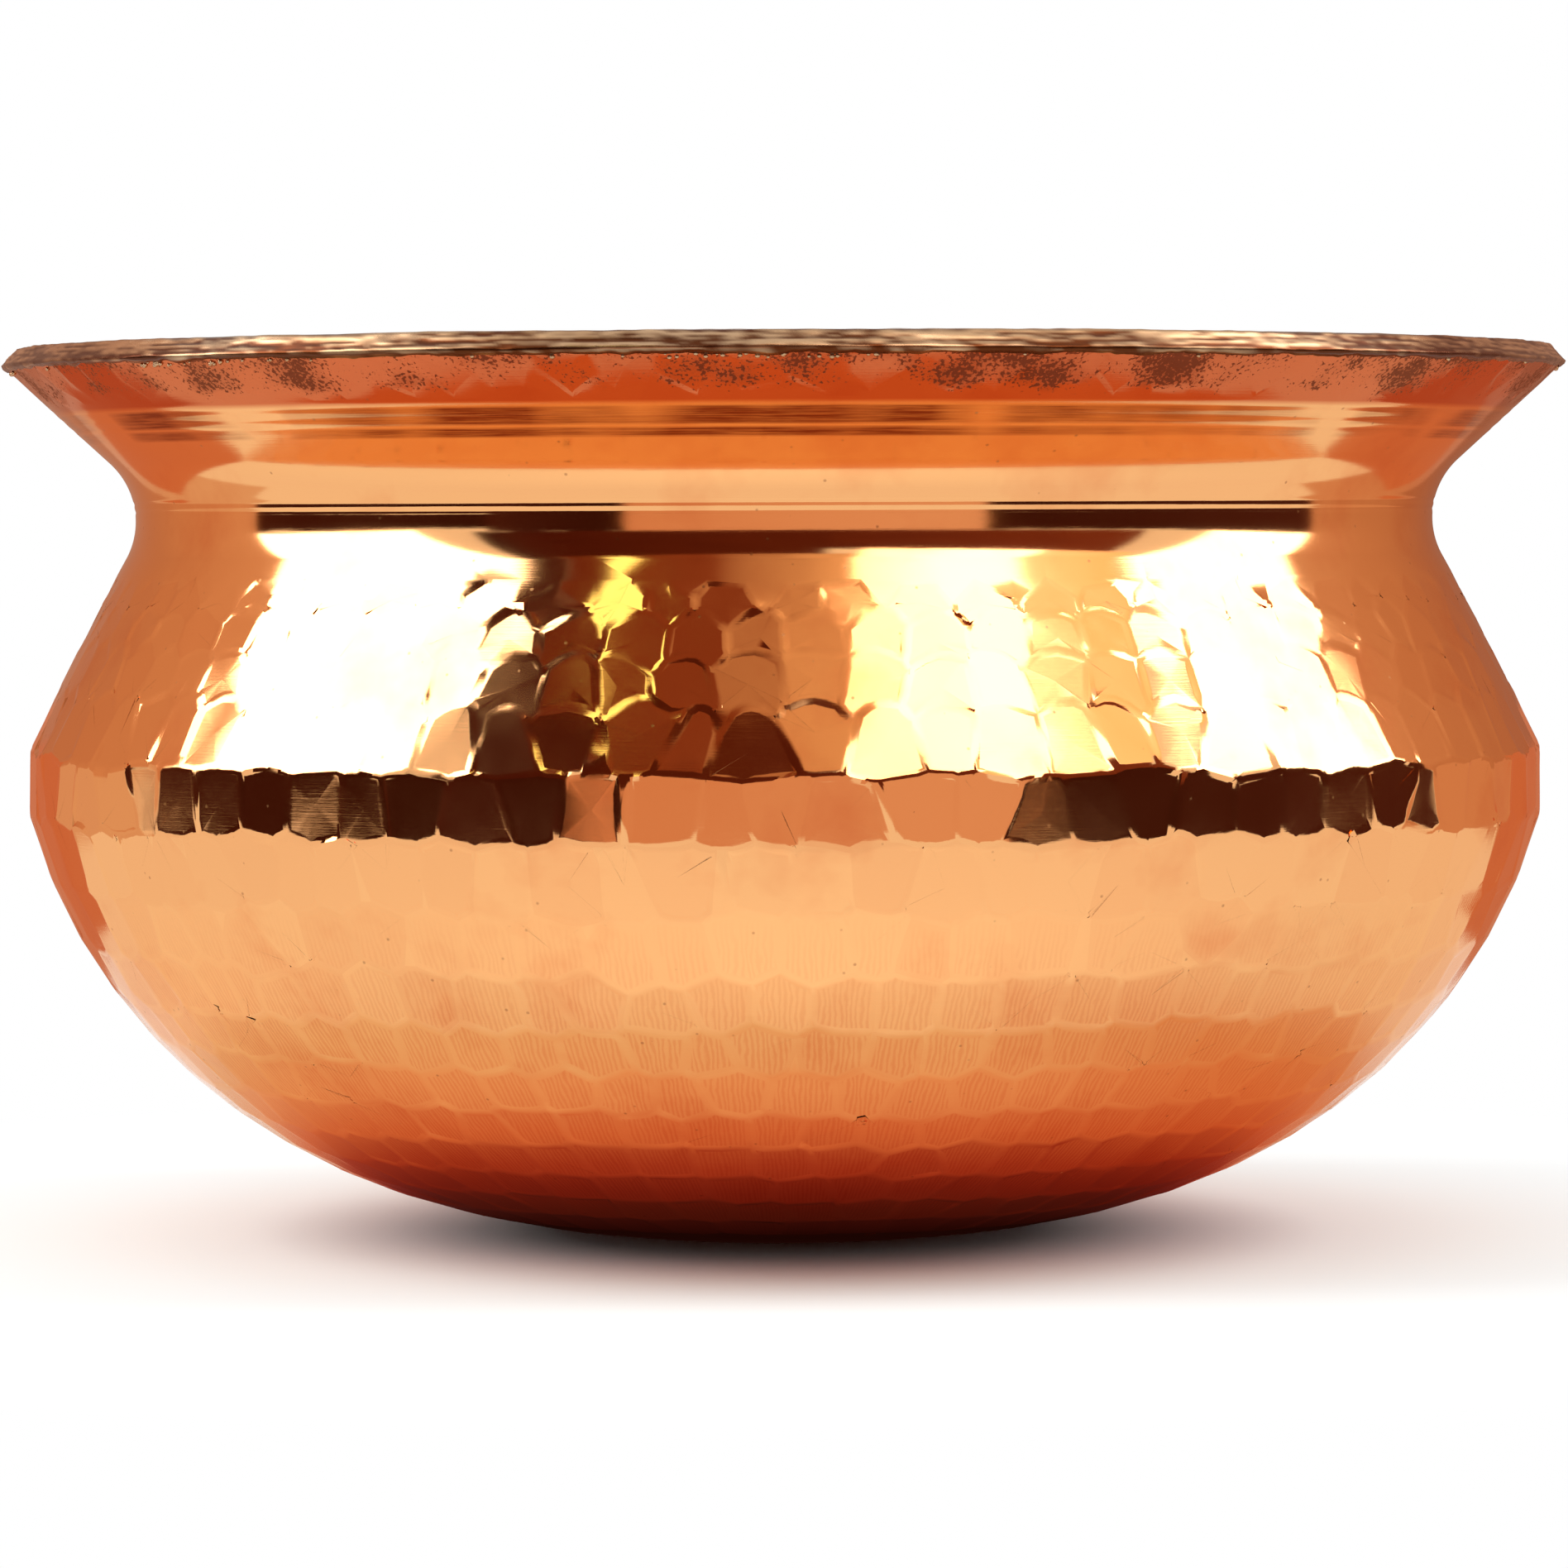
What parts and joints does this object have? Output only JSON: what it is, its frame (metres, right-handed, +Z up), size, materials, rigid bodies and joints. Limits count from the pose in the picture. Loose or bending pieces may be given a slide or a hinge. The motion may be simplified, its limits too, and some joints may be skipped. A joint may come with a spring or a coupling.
{
  "type": "copper cooking pot",
  "caption": "Hand-hammered round copper pot of the handi kind with a wide flared lip, drawn-in neck, full bowl and a wiped tin lining.",
  "frame": {"origin": "middle of the flat patch that the pot stands on", "axes": "+Z up along the pot's axis of turning; +X and +Y lie in the surface that it stands on, and no side is the front"},
  "size_m": [0.2548, 0.2548, 0.1438],
  "materials": {
    "hammered_copper": null,
    "wiped_tin": null
  },
  "bodies": {
    "root": {"copper_shell": "hammered_copper", "tin_lining": "wiped_tin"}
  },
  "joints": []
}
